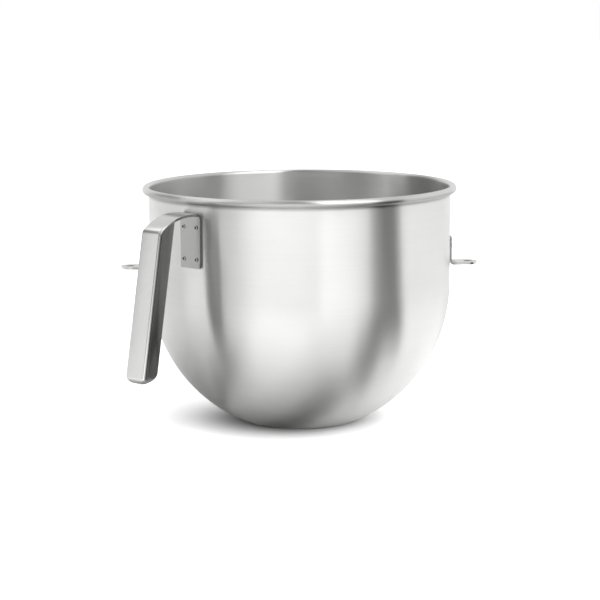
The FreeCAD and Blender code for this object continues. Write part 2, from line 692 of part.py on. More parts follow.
def build_latch_plate():
    """A small plate welded to the back of the wall, which carries the latch stud."""
    body = new_body("rear_latch_plate", "90")
    seat = size("wall_radius") + size("weld_gap")
    outer = seat + size("latch_plate_sheet")
    middle = size("latch_height")
    half_rise = size("latch_plate_rise") / 2
    low = "Sizes.latch_height - Sizes.latch_plate_rise / 2"
    high = "Sizes.latch_height + Sizes.latch_plate_rise / 2"
    face = f"{SEAT} + Sizes.latch_plate_sheet"

    section = Outline(body, "latch_plate_section")
    section.polygon((
        (seat, middle - half_rise, SEAT, low),
        (outer, middle - half_rise, face, low),
        (outer, middle + half_rise, face, high),
        (seat, middle + half_rise, SEAT, high),
    ))
    turn_plate(body, section, "latch_plate", "latch_plate_width")

    def corner(edge):
        aside = size("latch_plate_width") / 2
        return (outward_at(aside, middle - half_rise)(edge)
                or outward_at(aside, middle + half_rise)(edge))

    round_edges(body, body.Tip, "latch_plate_corners", "Sizes.latch_plate_corner", corner)

    hole = Outline(body, "latch_tenon_hole_outline", "YZ_Plane")
    hole_radius = size("latch_tenon_radius") + size("latch_tenon_fit")
    circle = hole.circle((0, middle), hole_radius)
    hole.place((circle, CENTRE), 0, middle, "0", "Sizes.latch_height")
    hole.measure("Radius", ((circle,),), hole_radius,
                 "Sizes.latch_tenon_radius + Sizes.latch_tenon_fit")
    cut_through(body, hole, "latch_tenon_hole")

    aside = size("latch_plate_width") / 2 - size("latch_mark_inset")
    above = half_rise - size("latch_mark_inset")
    marks = [
        (across * aside, middle + up * above,
         f"{across} * (Sizes.latch_plate_width / 2 - Sizes.latch_mark_inset)",
         f"Sizes.latch_height + {up} * (Sizes.latch_plate_rise / 2 - Sizes.latch_mark_inset)")
        for across in (-1, 1) for up in (-1, 1)
    ]
    mark_plate(body, "latch", f"({SEAT} + Sizes.latch_plate_sheet)",
               "Sizes.latch_plate_sheet", marks)
    return body


def build_latch_pin():
    """The stud that snaps into the mixer's spring latch, with a tenon in its plate."""
    body = new_body("rear_latch_pin", "90")
    body.setExpression("Placement.Base.z", "Sizes.latch_height")
    root = size("wall_radius") + size("weld_gap")
    shoulder = root + size("latch_plate_sheet")
    tip = shoulder + size("latch_pin_length")
    tenon = size("latch_tenon_radius")
    stud = size("latch_pin_radius")
    shoulder_expression = f"{SEAT} + Sizes.latch_plate_sheet"
    tip_expression = f"{shoulder_expression} + Sizes.latch_pin_length"

    profile = Outline(body, "latch_pin_profile")
    profile.polygon((
        (root, 0, SEAT, "0"),
        (tip, 0, tip_expression, "0"),
        (tip, stud, tip_expression, "Sizes.latch_pin_radius"),
        (shoulder, stud, shoulder_expression, "Sizes.latch_pin_radius"),
        (shoulder, tenon, shoulder_expression, "Sizes.latch_tenon_radius"),
        (root, tenon, SEAT, "Sizes.latch_tenon_radius"),
    ))
    turned = revolve(body, profile, "latch_pin_turned", axis="H_Axis")

    def end_rim(edge):
        middle = edge.CenterOfMass
        return near(middle.x, tip) and near(edge.Length, 2 * math.pi * stud)

    round_edges(body, turned, "latch_pin_end", "Sizes.latch_pin_round", end_rim)
    return body


SUB_PARTS = (
    build_bowl_shell(),
    build_handle(),
    build_side_tab("right_side_tab", "0"),
    build_side_tab("left_side_tab", "180"),
    build_latch_plate(),
    build_latch_pin(),
)
doc.recompute()

for item in doc.Objects:
    if "Invalid" in item.State or "Error" in item.State:
        raise RuntimeError(f"{item.Label} failed: {item.State}")
for item in doc.Objects:
    if item.TypeId == "Sketcher::SketchObject" and not item.FullyConstrained:
        raise RuntimeError(f"{item.Label} isn't fully constrained")
for sub_part in SUB_PARTS:
    shape = sub_part.Shape
    if shape.isNull() or not shape.isValid() or len(shape.Solids) != 1:
        raise RuntimeError(f"{sub_part.Label} isn't one valid solid")
for sub_part in SUB_PARTS:
    sub_part.Shape.exportStep(f"parts/{sub_part.Label}.step")
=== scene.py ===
"""Looks of the stand mixer bowl: satin steel shell, folded handle, tabs and latch.

The shell is turned again as one smooth skin by Geometry Nodes. The folded pieces are the
frame's own solids with their edges eased. All of them get brushed steel, and stand on a
pale floor in a plain studio with soft white boxes and dark cards.
"""
import math

import bmesh
import bpy
from bpy.props import FloatProperty, FloatVectorProperty, IntProperty, PointerProperty
from mathutils import Matrix, Vector


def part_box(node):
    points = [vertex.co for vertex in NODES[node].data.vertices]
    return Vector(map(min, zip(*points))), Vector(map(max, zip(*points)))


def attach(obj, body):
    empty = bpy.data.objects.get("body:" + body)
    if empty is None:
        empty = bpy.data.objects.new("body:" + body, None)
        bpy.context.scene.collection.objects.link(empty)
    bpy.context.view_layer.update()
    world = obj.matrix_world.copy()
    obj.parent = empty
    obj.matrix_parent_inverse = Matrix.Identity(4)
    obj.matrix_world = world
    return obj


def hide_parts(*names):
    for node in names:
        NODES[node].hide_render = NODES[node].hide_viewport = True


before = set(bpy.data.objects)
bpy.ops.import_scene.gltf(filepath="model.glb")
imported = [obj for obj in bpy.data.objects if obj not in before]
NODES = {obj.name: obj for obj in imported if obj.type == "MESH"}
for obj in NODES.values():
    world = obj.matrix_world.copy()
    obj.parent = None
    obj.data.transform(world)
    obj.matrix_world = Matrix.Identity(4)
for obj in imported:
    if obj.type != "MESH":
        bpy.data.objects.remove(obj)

bl_info = {
    "name": "Stand Mixer Bowl",
    "version": (1, 0, 0),
    "blender": (4, 5, 0),
    "location": "View3D > Sidebar > Bowl",
    "description": "Builds the steel skin, brackets and studio of a stand mixer bowl",
    "category": "Object",
}

MM = 0.001
SHELL_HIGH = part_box("bowl_shell")[1]

# Points nearer than the first of these are one point in the solids, and nearer than the
# second in the turned shell
SAME_POINT = 0.002 * MM
SAME_CORNER = 0.01 * MM

# Steps of the arcs in the shell's section
CORNER_STEPS, BELLY_STEPS, BEAD_STEPS = 14, 48, 28

# Angles between faces: under the first they are one flat face, over the second their edge
# shows, and over the third it is a cut edge
FLAT = math.radians(0.2)
CREASE = math.radians(35)
CUT_EDGE = math.radians(60)

# Cut edges shorter than this many times their easing stay sharp
SHORT_EDGE = 3

# Direction that the folded sheets are brushed in, a little off the vertical so that it is
# never square to a level face
BRUSHED = (0.03, 0.03, 1)

# Grain lines in a metre, across and along the folded sheets' brushing, and between the
# shell's rings, with how far those change in a turn of one radian
BRUSH_LINES = (1800.0, 1800.0, 60.0)
RING_LINES = 2400.0
RING_DRIFT = 1.2

# What the grain adds to the blur against its tone, and what wear adds to tone and blur
GRAIN_BLUR = -2.0
WEAR_TONE, WEAR_BLUR = 0.12, -0.35

# Where the shell's polish and painted shade change: heights from the rim's foot, which is
# a little under its bead, then radii from the wall's inner side, and heights over the
# floor for the painted shade inside the mouth
RIM_DROP = 0.2 * MM
RIM_POLISH = (-0.5 * MM, 0.0)
RIM_SHADE = (-3.2 * MM, 0.0)
RIM_SHADE_END = (2.6 * MM, 4.6 * MM)
OUTER_SIDE = (0.2 * MM, 0.6 * MM)
MOUTH = (120 * MM, 140 * MM)

# Where the folded sheets' painted shade changes: radii from the wall's inner side over
# which the painted shade near the wall fades, and how squarely a face looks aside when
# it gets the painted shade of a side
WALL_SHADE_REACH = (3.5 * MM, 8.0 * MM)
SHADED_SIDE = (0.55, 0.95)

# What the metal mirrors, in degrees and brightness: round from the camera's side to the
# right, half its width, height over the floor, half its height, softness of its edges
CARDS = (
    (180, 150, 75, 35, 10, 0.68),    # ceiling, towards the back
    (170, 50, 20, 24, 8, 0.75),      # low box behind the bowl
    (100, 35, 20, 24, 8, 0.75),      # right side box
    (-128, 14, 52, 12, 6, 1.40),     # high box behind the left
    (-75, 9, 44, 18, 5, 1.20),       # upper half of the narrow left box
    (-83, 13, 10, 14, 5, 0.95),      # lower half of it
    (41, 24, 47, 35, 5, 2.15),       # key box, front right
    (-90, 55, -50, 49, 8, 0.95),     # floor on the left
    (180, 50, -50, 49, 8, 0.90),     # floor behind
    (-8, 28, -46, 53, 14, 1.48),     # lit floor towards the camera
    (42, 16, -50, 49, 8, 0.92),      # floor under the key box
    (-33, 18, -56, 28, 10, 0.55),    # the bowl's shade on the floor
    (58, 8, -22, 10, 5, 0.20),       # middle of the dark card
    (50, 9, -46, 16, 6, 0.30),       # foot of the dark card
    (67, 12, -6, 14, 4, 0.0),        # dark card between the key box and the right side
)
# Point over the floor that its reflections are read from, so that the dark card's foot
# meets the base
CARD_FOOT = (-0.070, -0.012, 0.1)

# Soft shades round a point of the floor: the point, the radii that the shade lies between,
# and what is left of the light in its middle. The metal mirrors the first one. The second
# dims the light that is added where the camera sees the floor.
MIRRORED_SHADE = ((-0.080, -0.030, 0), 0.0, 0.28, 0.40)
CONTACT_SHADE = ((-0.014, -0.002, 0), 0.042, 0.115, 0.02)

# Lamps that light the floor: round from the camera's side to the right, height over the
# floor, angle that the lamp fills, all in degrees, and strength
LAMPS = (
    ("key_lamp", 20, 38, 60, 2.6),
    ("left_lamp", -100, 45, 60, 0.8),
    ("right_lamp", 100, 45, 60, 1.1),
    ("top_lamp", 180, 60, 90, 0.5),
)

# How far the lamps stand off, and half the floor's width, in metres
LAMP_DISTANCE = 2.0
FLOOR_REACH = 8.0


# Settings


class ShellSettings(bpy.types.PropertyGroup):
    """Sizes of the turned shell that the frame's box doesn't give."""

    sheet: FloatProperty(
        name="Sheet", description="Thickness of the drawn sheet", default=0.9 * MM,
        min=0.1 * MM, unit="LENGTH")
    bead: FloatProperty(
        name="Bead radius", description="Outer radius of the rolled rim", default=3.1 * MM,
        min=0.5 * MM, unit="LENGTH")
    bead_turn: FloatProperty(
        name="Bead turn", description="How far the rim is rolled round",
        default=math.radians(300), subtype="ANGLE")
    base_flat: FloatProperty(
        name="Base flat", description="Radius of the flat base", default=43.4 * MM,
        unit="LENGTH")
    base_corner: FloatProperty(
        name="Base corner", description="Outer radius between the base and the belly",
        default=15.0 * MM, unit="LENGTH")
    segments: IntProperty(
        name="Segments", description="Faces round the bowl", default=256, min=32, max=512)


class SteelSettings(bpy.types.PropertyGroup):
    """Colours and finish of the steel."""

    shell_colour: FloatVectorProperty(
        name="Shell colour", description="Drawn sheet", subtype="COLOR", size=4,
        min=0, max=1, default=(0.85, 0.85, 0.84, 1))
    fold_colour: FloatVectorProperty(
        name="Folded sheet colour", description="Handle and brackets", subtype="COLOR",
        size=4, min=0, max=1, default=(0.80, 0.80, 0.79, 1))
    shell_roughness: FloatProperty(
        name="Shell roughness", description="Blur of the shell's reflections",
        default=0.33, min=0, max=1, subtype="FACTOR")
    rim_roughness: FloatProperty(
        name="Rim roughness", description="Blur of the rolled rim's reflections",
        default=0.30, min=0, max=1, subtype="FACTOR")
    # Painted shade: how much darker the outer wall is under the rolled rim and on its lower
    # side
    rim_shade_tone: FloatProperty(
        name="Rim tone", description="How much darker the wall is under the rolled rim",
        default=0.50, min=0, max=1, subtype="FACTOR")
    # Painted shade: how bright the wall's inner side stays high in the mouth
    inner_shade_tone: FloatProperty(
        name="Inner tone", description="How bright the wall is inside the mouth",
        default=0.85, min=0, max=1, subtype="FACTOR")
    fold_roughness: FloatProperty(
        name="Folded sheet roughness", description="Blur of the handle's reflections",
        default=0.22, min=0, max=1, subtype="FACTOR")
    # Painted shade: how bright the handle's faces that look across it, its sides and flanges,
    # stay
    side_shade_tone: FloatProperty(
        name="Side tone", description="How bright the handle's cut sides are",
        default=0.25, min=0, max=1, subtype="FACTOR")
    # Painted shade: how bright the tabs' cut sides stay
    tab_side_shade_tone: FloatProperty(
        name="Tab side tone", description="How bright the tabs' cut sides are",
        default=0.60, min=0, max=1, subtype="FACTOR")
    # Painted shade: how bright the folded sheets stay next to the bowl's wall
    wall_shade_tone: FloatProperty(
        name="Weld tone", description="How bright the folded sheets are at the welds",
        default=0.50, min=0, max=1, subtype="FACTOR")
    edge_ease: FloatProperty(
        name="Edge ease", description="Rounding of the folded sheets' cut edges",
        default=0.25 * MM, min=0, unit="LENGTH")


class StageSettings(bpy.types.PropertyGroup):
    """Camera and studio."""

    distance: FloatProperty(
        name="Camera distance", description="From the bowl's axis", default=1.8,
        unit="LENGTH")
    azimuth: FloatProperty(
        name="Camera azimuth", description="Turned about the bowl from the front",
        default=math.radians(4.02), subtype="ANGLE")
    elevation: FloatProperty(
        name="Camera elevation", description="Above the horizon",
        default=math.radians(8.91), subtype="ANGLE")
    roll: FloatProperty(
        name="Camera roll", description="Right side of the picture up",
        default=math.radians(0.32), subtype="ANGLE")
    aim_height: FloatProperty(
        name="Aim height", description="Height that the camera looks at",
        default=0.09945, unit="LENGTH")
    lens: FloatProperty(
        name="Lens", description="Focal length on a 36 mm sensor, in millimetres",
        default=130.0)
    floor_colour: FloatVectorProperty(
        name="Floor colour", description="Pale studio floor", subtype="COLOR", size=4,
        min=0, max=1, default=(0.86, 0.86, 0.86, 1))
    floor_lift: FloatProperty(
        name="Floor lift", description="Light added where the camera sees the floor",
        default=0.60, min=0)
    surround: FloatProperty(
        name="Surround", description="Brightness of the studio between its cards",
        default=0.22, min=0)
    floor_surround: FloatProperty(
        name="Floor surround", description="Floor's colour in reflections",
        default=1.15, min=0)


def settings():
    """The three groups of settings, held by the scene."""
    scene = bpy.context.scene
    return scene.bowl_shell, scene.bowl_steel, scene.bowl_stage


# Node helpers


class Tree:
    """Adds nodes to a tree: a socket is set by a value, or linked from another socket."""

    def __init__(self, tree):
        self.tree = tree

    def add(self, kind, inputs=(), **options):
        node = self.tree.nodes.new(kind)
        for name, value in options.items():
            setattr(node, name, value)
        for name, value in dict(inputs).items():
            self.feed(node.inputs[name], value)
        return node

    def feed(self, socket, value):
        if isinstance(value, bpy.types.NodeSocket):
            self.tree.links.new(value, socket)
        else:
            socket.default_value = value

    def math(self, operation, first, second=0.0, third=0.0):
        return self.add("ShaderNodeMath", {0: first, 1: second, 2: third},
                        operation=operation).outputs[0]

    def vector(self, operation, first, second):
        sockets = {0: first, "Scale" if operation == "SCALE" else 1: second}
        node = self.add("ShaderNodeVectorMath", sockets, operation=operation)
        number = operation in ("DOT_PRODUCT", "DISTANCE")
        return node.outputs["Value" if number else "Vector"]

    def ramp(self, value, span, low=0.0, high=1.0, origin=0.0, soft=False):
        """A result from low to high, while the value goes through the span past the origin."""
        return self.add("ShaderNodeMapRange", {
            "Value": value, "From Min": origin + span[0], "From Max": origin + span[1],
            "To Min": low, "To Max": high},
            interpolation_type="SMOOTHSTEP" if soft else "LINEAR").outputs[0]

    def split(self, vector):
        """The parts of a vector, and its length in the level plane."""
        parts = self.add("ShaderNodeSeparateXYZ", {0: vector}).outputs
        across = self.math("MULTIPLY", parts["X"], parts["X"])
        along = self.math("MULTIPLY", parts["Y"], parts["Y"])
        return parts, self.math("SQRT", self.math("ADD", across, along))


# Turned shell


def lathe_tree():
    """A Geometry Nodes tree that draws the shell's section and turns it."""
    group = bpy.data.node_groups.new("turned_shell", "GeometryNodeTree")
    face = group.interface
    for name, kind in (("Rim Radius", "NodeSocketFloat"), ("Height", "NodeSocketFloat"),
                       ("Sheet", "NodeSocketFloat"), ("Bead", "NodeSocketFloat"),
                       ("Bead Turn", "NodeSocketFloat"), ("Base Flat", "NodeSocketFloat"),
                       ("Base Corner", "NodeSocketFloat"), ("Segments", "NodeSocketInt"),
                       ("Material", "NodeSocketMaterial")):
        face.new_socket(name, in_out="INPUT", socket_type=kind)
    face.new_socket("Geometry", in_out="OUTPUT", socket_type="NodeSocketGeometry")
    tree = Tree(group)
    given = tree.add("NodeGroupInput").outputs
    sheet, bead, corner = given["Sheet"], given["Bead"], given["Base Corner"]
    base, turn = given["Base Flat"], given["Bead Turn"]

    def square(value):
        return tree.math("MULTIPLY", value, value)

    wall_in = tree.math("SUBTRACT", given["Rim Radius"], tree.math("MULTIPLY", bead, 2.0))
    wall = tree.math("ADD", wall_in, sheet)
    bead_x = tree.math("ADD", wall_in, bead)
    bead_z = tree.math("SUBTRACT", given["Height"], bead)
    reach = tree.math("SUBTRACT", wall, corner)
    rise = tree.math("SQRT", tree.math("SUBTRACT", square(reach), square(base)))
    belly = tree.math("ADD", corner, rise)
    belly_turn = tree.math("ARCTAN2", rise, base)
    blend = tree.math("MULTIPLY", belly_turn, -1.0)
    blend_turn = tree.math("ADD", blend, math.pi / 2)
    bead_end = tree.math("SUBTRACT", math.pi, turn)
    tube = tree.math("SUBTRACT", bead, sheet)

    def point(across, up):
        return tree.add("ShaderNodeCombineXYZ", {"X": across, "Y": up}).outputs[0]

    def arc(centre, radius, start, sweep, resolution):
        curve = tree.add("GeometryNodeCurveArc", {
            "Resolution": resolution, "Radius": radius, "Start Angle": start,
            "Sweep Angle": sweep}, mode="RADIUS").outputs["Curve"]
        moved = tree.add("GeometryNodeTransform", {"Geometry": curve, "Translation": centre})
        return moved.outputs[0]

    def line(start, end):
        return tree.add("GeometryNodeCurvePrimitiveLine",
                        {"Start": start, "End": end}).outputs[0]

    def lip_end(radius):
        across = tree.math("MULTIPLY", tree.math("COSINE", bead_end), radius)
        up = tree.math("MULTIPLY", tree.math("SINE", bead_end), radius)
        return point(tree.math("ADD", bead_x, across), tree.math("ADD", bead_z, up))

    corner_at, belly_at = point(base, corner), point(0.0, belly)
    bead_at = point(bead_x, bead_z)
    corner_in = tree.math("SUBTRACT", corner, sheet)
    pieces = [
        line(point(0.0, 0.0), point(base, 0.0)),
        arc(corner_at, corner, -math.pi / 2, blend_turn, CORNER_STEPS),
        arc(belly_at, wall, blend, belly_turn, BELLY_STEPS),
        line(point(wall, belly), point(wall, bead_z)),
        arc(bead_at, tube, bead_end, turn, BEAD_STEPS),
        line(lip_end(tube), lip_end(bead)),
        arc(bead_at, bead, bead_end, turn, BEAD_STEPS),
        line(point(wall_in, bead_z), point(wall_in, belly)),
        arc(belly_at, wall_in, blend, belly_turn, BELLY_STEPS),
        arc(corner_at, corner_in, -math.pi / 2, blend_turn, CORNER_STEPS),
        line(point(base, sheet), point(0.0, sheet)),
    ]
    joined = tree.add("GeometryNodeJoinGeometry")
    for piece in reversed(pieces):
        group.links.new(piece, joined.inputs[0])
    wires = tree.add("GeometryNodeCurveToMesh", {"Curve": joined.outputs[0]}).outputs[0]
    merged_or_wall_shade = tree.add("GeometryNodeMergeByDistance",
                      {"Geometry": wires, "Distance": SAME_CORNER}).outputs[0]
    section = tree.add("GeometryNodeMeshToCurve", {"Mesh": merged_or_wall_shade}).outputs[0]

    # the circle's own normals point at its middle, so the section is drawn towards it
    reach_in = tree.math("MULTIPLY", wall, -1.0)
    centred = tree.add("GeometryNodeTransform", {
        "Geometry": section, "Translation": point(reach_in, 0.0),
        "Scale": (1.0, -1.0, 1.0)}).outputs[0]
    circle = tree.add("GeometryNodeCurvePrimitiveCircle", {
        "Resolution": given["Segments"], "Radius": wall}).outputs["Curve"]
    turned = tree.add("GeometryNodeCurveToMesh", {
        "Curve": circle, "Profile Curve": centred}).outputs[0]
    closed = tree.add("GeometryNodeMergeByDistance",
                      {"Geometry": turned, "Distance": SAME_CORNER}).outputs[0]
    made = tree.add("GeometryNodeRealizeInstances", {"Geometry": closed}).outputs[0]
    painted = tree.add("GeometryNodeSetMaterial", {
        "Geometry": made, "Material": given["Material"]}).outputs[0]
    tree.add("NodeGroupOutput", {"Geometry": painted})
    return group


def baked(name, group, values):
    """A plain mesh object from a Geometry Nodes tree with these input values."""
    holder = bpy.data.objects.new(name, bpy.data.meshes.new(name))
    bpy.context.scene.collection.objects.link(holder)
    modifier = holder.modifiers.new(name, "NODES")
    modifier.node_group = group
    for item in group.interface.items_tree:
        if item.item_type == "SOCKET" and item.in_out == "INPUT":
            modifier[item.identifier] = values[item.name]
    depsgraph = bpy.context.evaluated_depsgraph_get()
    mesh = bpy.data.meshes.new_from_object(holder.evaluated_get(depsgraph))
    mesh.name = name
    holder.modifiers.remove(modifier)
    holder.data = mesh
    return holder


def closed_shape(piece, flat=0.0):
    """The piece's mesh for editing: closed, flat where it nearly is, faces outwards."""
    shape = bmesh.new()
    shape.from_mesh(piece.data)
    bmesh.ops.remove_doubles(shape, verts=shape.verts, dist=SAME_POINT)
    if flat:
        bmesh.ops.dissolve_limit(shape, angle_limit=flat, verts=shape.verts,
                                 edges=shape.edges)
    bmesh.ops.recalc_face_normals(shape, faces=shape.faces)
    return shape


def keep_shape(shape, piece, eased=frozenset()):
    """Shade smoothly, except over creases and round the eased faces, and keep the mesh."""
    for polygon in shape.faces:
        polygon.smooth = True
    for edge in shape.edges:
        rounds = {polygon in eased for polygon in edge.link_faces}
        edge.smooth = (edge.is_manifold and edge.calc_face_angle() < CREASE
                       and len(rounds) == 1)
    shape.to_mesh(piece.data)
    shape.free()


class BOWL_OT_shell(bpy.types.Operator):
    """Turn the shell: flat base, round belly, upright wall and rolled rim"""

    bl_idname = "bowl.shell"
    bl_label = "Turn the shell"

    def execute(self, context):
        sizes, steel, _ = settings()
        shell = baked("steel_shell", lathe_tree(), {
            "Rim Radius": SHELL_HIGH.x, "Height": SHELL_HIGH.z, "Sheet": sizes.sheet,
            "Bead": sizes.bead, "Bead Turn": sizes.bead_turn,
            "Base Flat": sizes.base_flat, "Base Corner": sizes.base_corner,
            "Segments": sizes.segments, "Material": shell_steel(steel, sizes)})
        keep_shape(closed_shape(shell), shell)
        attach(shell, "root")
        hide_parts("bowl_shell")
        return {"FINISHED"}


# Folded pieces


def eased_copy(node, name, ease):
    """The frame's solid as a clean mesh, with its longer cut edges eased.

    The eased faces are marked by the attribute "worn", for the wear on the edges.
    """
    piece = bpy.data.objects.new(name, NODES[node].data.copy())
    piece.data.name = name
    bpy.context.scene.collection.objects.link(piece)
    shape = closed_shape(piece, FLAT)
    cut = [edge for edge in shape.edges
           if edge.is_manifold and edge.calc_length() > SHORT_EDGE * ease
           and edge.calc_face_angle() > CUT_EDGE]
    eased = bmesh.ops.bevel(shape, geom=cut, offset=ease, offset_type="OFFSET", segments=2,
                            profile=0.5, affect="EDGES", clamp_overlap=False)["faces"]
    worn = shape.loops.layers.float.new("worn")
    for polygon in eased:
        for corner in polygon.loops:
            corner[worn] = 1.0
    keep_shape(shape, piece, frozenset(eased))
    return piece


def handle_side():
    """The level direction across the handle, from the middle of its box."""
    low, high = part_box("handle")
    out = ((low + high) / 2).xy.normalized()
    return (-out.y, out.x, 0.0)


class BOWL_OT_handle(bpy.types.Operator):
    """Finish the folded handle in steel that is brushed along its length"""

    bl_idname = "bowl.handle"
    bl_label = "Finish the handle"

    def execute(self, context):
        steel = settings()[1]
        piece = eased_copy("handle", "folded_handle", steel.edge_ease)
        piece.data.materials.clear()
        piece.data.materials.append(
            fold_steel("handle_steel", handle_side(), steel.side_shade_tone))
        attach(piece, "root")
        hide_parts("handle")
        return {"FINISHED"}


class BOWL_OT_brackets(bpy.types.Operator):
    """Finish the side tabs and the rear latch"""

    bl_idname = "bowl.brackets"
    bl_label = "Finish the brackets"

    def execute(self, context):
        steel = settings()[1]
        tabs = fold_steel("tab_steel", (0, 1, 0), steel.tab_side_shade_tone)
        latch = fold_steel("latch_steel")
        for node, name, slot, material in (
                ("left_side_tab", "left_tab", "bracket_steel", tabs),
                ("right_side_tab", "right_tab", "bracket_steel", tabs),
                ("rear_latch_plate", "latch_plate", "bracket_steel", latch),
                ("rear_latch_pin", "latch_stud", "stud_steel", latch)):
            piece = eased_copy(node, name, steel.edge_ease)
            piece.data.materials.clear()
            piece.data.materials.append(material)
            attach(piece, "root")
            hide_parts(node)
        return {"FINISHED"}


# Steel


def grain_group():
    """Fine grain and faint handling marks of worked steel, along a stretched pattern."""
    group = bpy.data.node_groups.new("worked_steel", "ShaderNodeTree")
    for name, kind in (("Pattern", "NodeSocketVector"), ("Place", "NodeSocketVector"),
                       ("Colour", "NodeSocketColor"), ("Roughness", "NodeSocketFloat"),
                       ("Grain", "NodeSocketFloat"), ("Clouds", "NodeSocketFloat"),
                       ("Worn", "NodeSocketFloat")):
        group.interface.new_socket(name, in_out="INPUT", socket_type=kind)
    for name, kind in (("Colour", "NodeSocketColor"), ("Roughness", "NodeSocketFloat"),
                       ("Height", "NodeSocketFloat")):
        group.interface.new_socket(name, in_out="OUTPUT", socket_type=kind)
    tree = Tree(group)
    given = tree.add("NodeGroupInput").outputs
    fine = tree.add("ShaderNodeTexNoise", {
        "Vector": given["Pattern"], "Scale": 1.0, "Detail": 4.0, "Roughness": 0.65}).outputs[0]
    clouds = tree.add("ShaderNodeTexNoise", {
        "Vector": given["Place"], "Scale": 28.0, "Detail": 3.0}).outputs[0]
    grain = tree.math("MULTIPLY", tree.math("SUBTRACT", fine, 0.5), given["Grain"])
    cloud = tree.math("MULTIPLY", tree.math("SUBTRACT", clouds, 0.5), given["Clouds"])
    uneven = tree.math("ADD", grain, cloud)
    tone = tree.math("MULTIPLY_ADD", given["Worn"], WEAR_TONE,
                     tree.math("ADD", uneven, 1.0))
    blur = tree.math("MULTIPLY_ADD", given["Worn"], WEAR_BLUR,
                     tree.math("MULTIPLY_ADD", uneven, GRAIN_BLUR, 1.0))
    tree.add("NodeGroupOutput", {
        "Colour": tree.vector("SCALE", given["Colour"], tone),
        "Roughness": tree.math("MULTIPLY", given["Roughness"], blur),
        "Height": fine})
    return group


def worked_steel(name, colour, roughness, grain, clouds, height):
    """A steel material with the shared grain, and its tree, shader, place and grain."""
    material = bpy.data.materials.new(name)
    material.use_nodes = True
    shader = material.node_tree.nodes["Principled BSDF"]
    shader.inputs["Metallic"].default_value = 1.0
    tree = Tree(material.node_tree)
    group = bpy.data.node_groups.get("worked_steel") or grain_group()
    place = tree.add("ShaderNodeTexCoord").outputs["Object"]
    worked = tree.add("ShaderNodeGroup", node_tree=group)
    for socket, value in (("Place", place), ("Colour", colour), ("Roughness", roughness),
                          ("Grain", grain), ("Clouds", clouds)):
        tree.feed(worked.inputs[socket], value)
    tree.feed(shader.inputs["Base Color"], worked.outputs["Colour"])
    tree.feed(shader.inputs["Roughness"], worked.outputs["Roughness"])
    bump = tree.add("ShaderNodeBump", {
        "Height": worked.outputs["Height"], "Strength": 0.15, "Distance": height})
    tree.feed(shader.inputs["Normal"], bump.outputs[0])
    return material, tree, shader, place, worked


def wall_inside(sizes):
    """Radius of the wall's inner side."""
    return SHELL_HIGH.x - 2 * sizes.bead


def shell_steel(steel, sizes):
    """Drawn sheet polished round the bowl's axis, with a smoother rolled rim."""
    material, tree, shader, place, worked = worked_steel(
        "shell_steel", steel.shell_colour, steel.shell_roughness, grain=0.10, clouds=0.05,
        height=0.01 * MM)
    parts, radius = tree.split(place)
    angle = tree.math("ARCTAN2", parts["Y"], parts["X"])
    rings = tree.add("ShaderNodeCombineXYZ", {
        "X": tree.math("MULTIPLY", radius, RING_LINES),
        "Y": tree.math("MULTIPLY", tree.math("ABSOLUTE", angle), RING_DRIFT),
        "Z": tree.math("MULTIPLY", parts["Z"], RING_LINES)}).outputs[0]
    tree.feed(worked.inputs["Pattern"], rings)

    foot = SHELL_HIGH.z - 2 * sizes.bead - RIM_DROP
    tree.feed(worked.inputs["Roughness"], tree.ramp(
        parts["Z"], RIM_POLISH, steel.shell_roughness, steel.rim_roughness, origin=foot))
    # Painted shade: the outer wall under the rolled rim and the rim's lower side are darkened
    outside = tree.ramp(radius, OUTER_SIDE, origin=wall_inside(sizes))
    under = tree.ramp(parts["Z"], RIM_SHADE, high=steel.rim_shade_tone, origin=foot, soft=True)
    lower = tree.ramp(parts["Z"], RIM_SHADE_END, 1.0, 0.0, origin=foot)
    rim = tree.math("MULTIPLY", tree.math("MULTIPLY", outside, under), lower)
    # Painted shade: the wall's inner side is darkened high in the mouth
    mouth = tree.ramp(parts["Z"], MOUTH, high=1.0 - steel.inner_shade_tone)
    inner = tree.math("MULTIPLY", mouth, tree.math("SUBTRACT", 1.0, outside))
    shade = tree.math("MULTIPLY", tree.math("SUBTRACT", 1.0, rim),
                      tree.math("SUBTRACT", 1.0, inner))
    tree.feed(shader.inputs["Base Color"],
              tree.vector("SCALE", worked.outputs["Colour"], shade))

    shader.inputs["Anisotropic"].default_value = 1.0
    shader.inputs["Anisotropic Rotation"].default_value = 0.25
    tangent = tree.add("ShaderNodeTangent", direction_type="RADIAL", axis="Z")
    tree.feed(shader.inputs["Tangent"], tangent.outputs[0])
    return material


def fold_steel(name, sides=(0, 0, 0), side_shade_tone=1.0):
    """Sheet brushed along its length, with painted shade near the wall and on faces looking
    the sides' way.
    """
    sizes, steel, _ = settings()
    material, tree, shader, place, worked = worked_steel(
        name, steel.fold_colour, steel.fold_roughness, grain=0.16, clouds=0.08,
        height=0.02 * MM)
    tree.feed(worked.inputs["Pattern"], tree.vector("MULTIPLY", place, BRUSH_LINES))
    tree.feed(worked.inputs["Worn"],
              tree.add("ShaderNodeAttribute", attribute_name="worn").outputs["Fac"])
    facing = tree.add("ShaderNodeTexCoord").outputs["Normal"]
    tree.feed(shader.inputs["Tangent"], tree.vector("CROSS_PRODUCT", facing, BRUSHED))
    shader.inputs["Anisotropic"].default_value = 0.6

    # Painted shade: faces that look along the sides' direction are darkened to the side shade
    # tone
    aside = tree.math("ABSOLUTE", tree.vector("DOT_PRODUCT", facing, sides))
    painted_side_shade = tree.ramp(aside, SHADED_SIDE, 1.0, side_shade_tone, soft=True)
    # Painted shade: the sheet is darkened next to the bowl's wall
    merged_or_wall_shade = tree.ramp(tree.split(place)[1], WALL_SHADE_REACH, steel.wall_shade_tone,
                       origin=wall_inside(sizes))
    tree.feed(shader.inputs["Base Color"],
              tree.vector("SCALE", worked.outputs["Colour"],
                          tree.math("MULTIPLY", painted_side_shade, merged_or_wall_shade)))
    return material


# Stage


